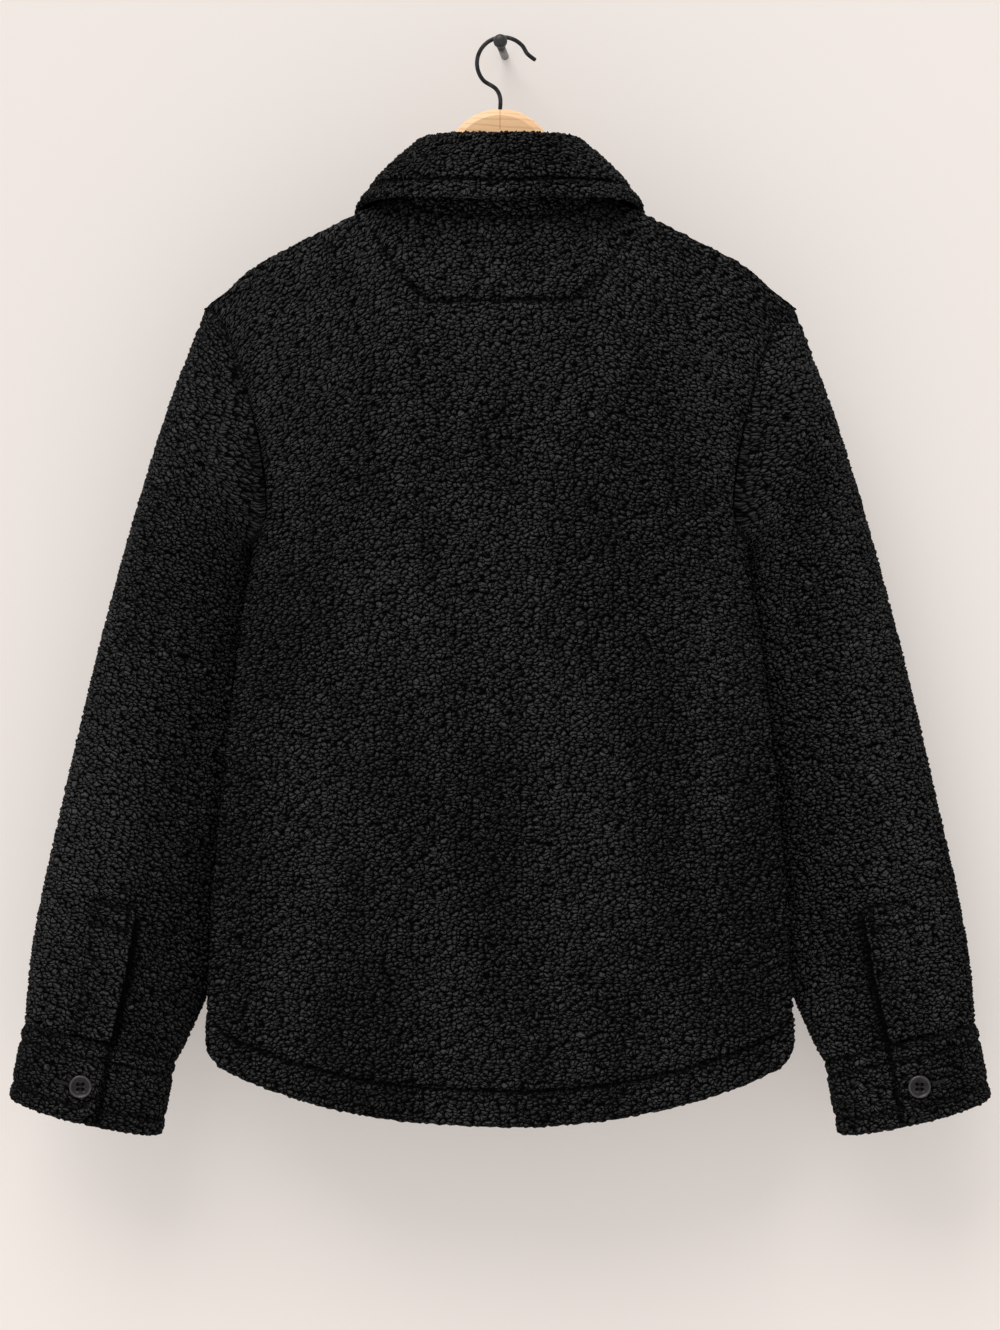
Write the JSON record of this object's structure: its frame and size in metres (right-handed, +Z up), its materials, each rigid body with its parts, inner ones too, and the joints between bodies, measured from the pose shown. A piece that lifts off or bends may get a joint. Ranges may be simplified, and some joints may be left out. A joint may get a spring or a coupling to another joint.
{
  "type": "fleece jacket on a hanger",
  "caption": "Pile fleece shirt jacket with a turned-down collar, buttoned front, curved hem and buttoned cuffs, hanging on a wooden hanger with a wire hook.",
  "frame": {"origin": "the inner top of the hook, where it bears on a peg or rail", "axes": "+Z up, +X to the wearer's right, -Y out of the garment's back and +Y out of its front"},
  "size_m": [0.7854, 0.1331, 0.8774],
  "materials": {
    "cloth": "matt black pile fleece with short curled nubs",
    "button": "satin dark button, four holes",
    "wood": "clear satin lacquer over light wood",
    "wire": "dark satin metal wire"
  },
  "bodies": {
    "root": {"back": "cloth", "front_left": "cloth", "front_right": "cloth", "front_band": "cloth", "collar_stand": "cloth", "collar_fall": "cloth", "sleeve_left": "cloth", "sleeve_placket_left": "cloth", "cuff_left": "cloth", "cuff_button_left": "button", "hanger_left": "wood", "sleeve_right": "cloth", "sleeve_placket_right": "cloth", "cuff_right": "cloth", "cuff_button_right": "button", "hanger_right": "wood", "front_button_1": "button", "front_button_2": "button", "front_button_3": "button", "front_button_4": "button", "front_button_5": "button", "front_button_6": "button", "front_button_7": "button", "hook": "wire"}
  },
  "joints": []
}
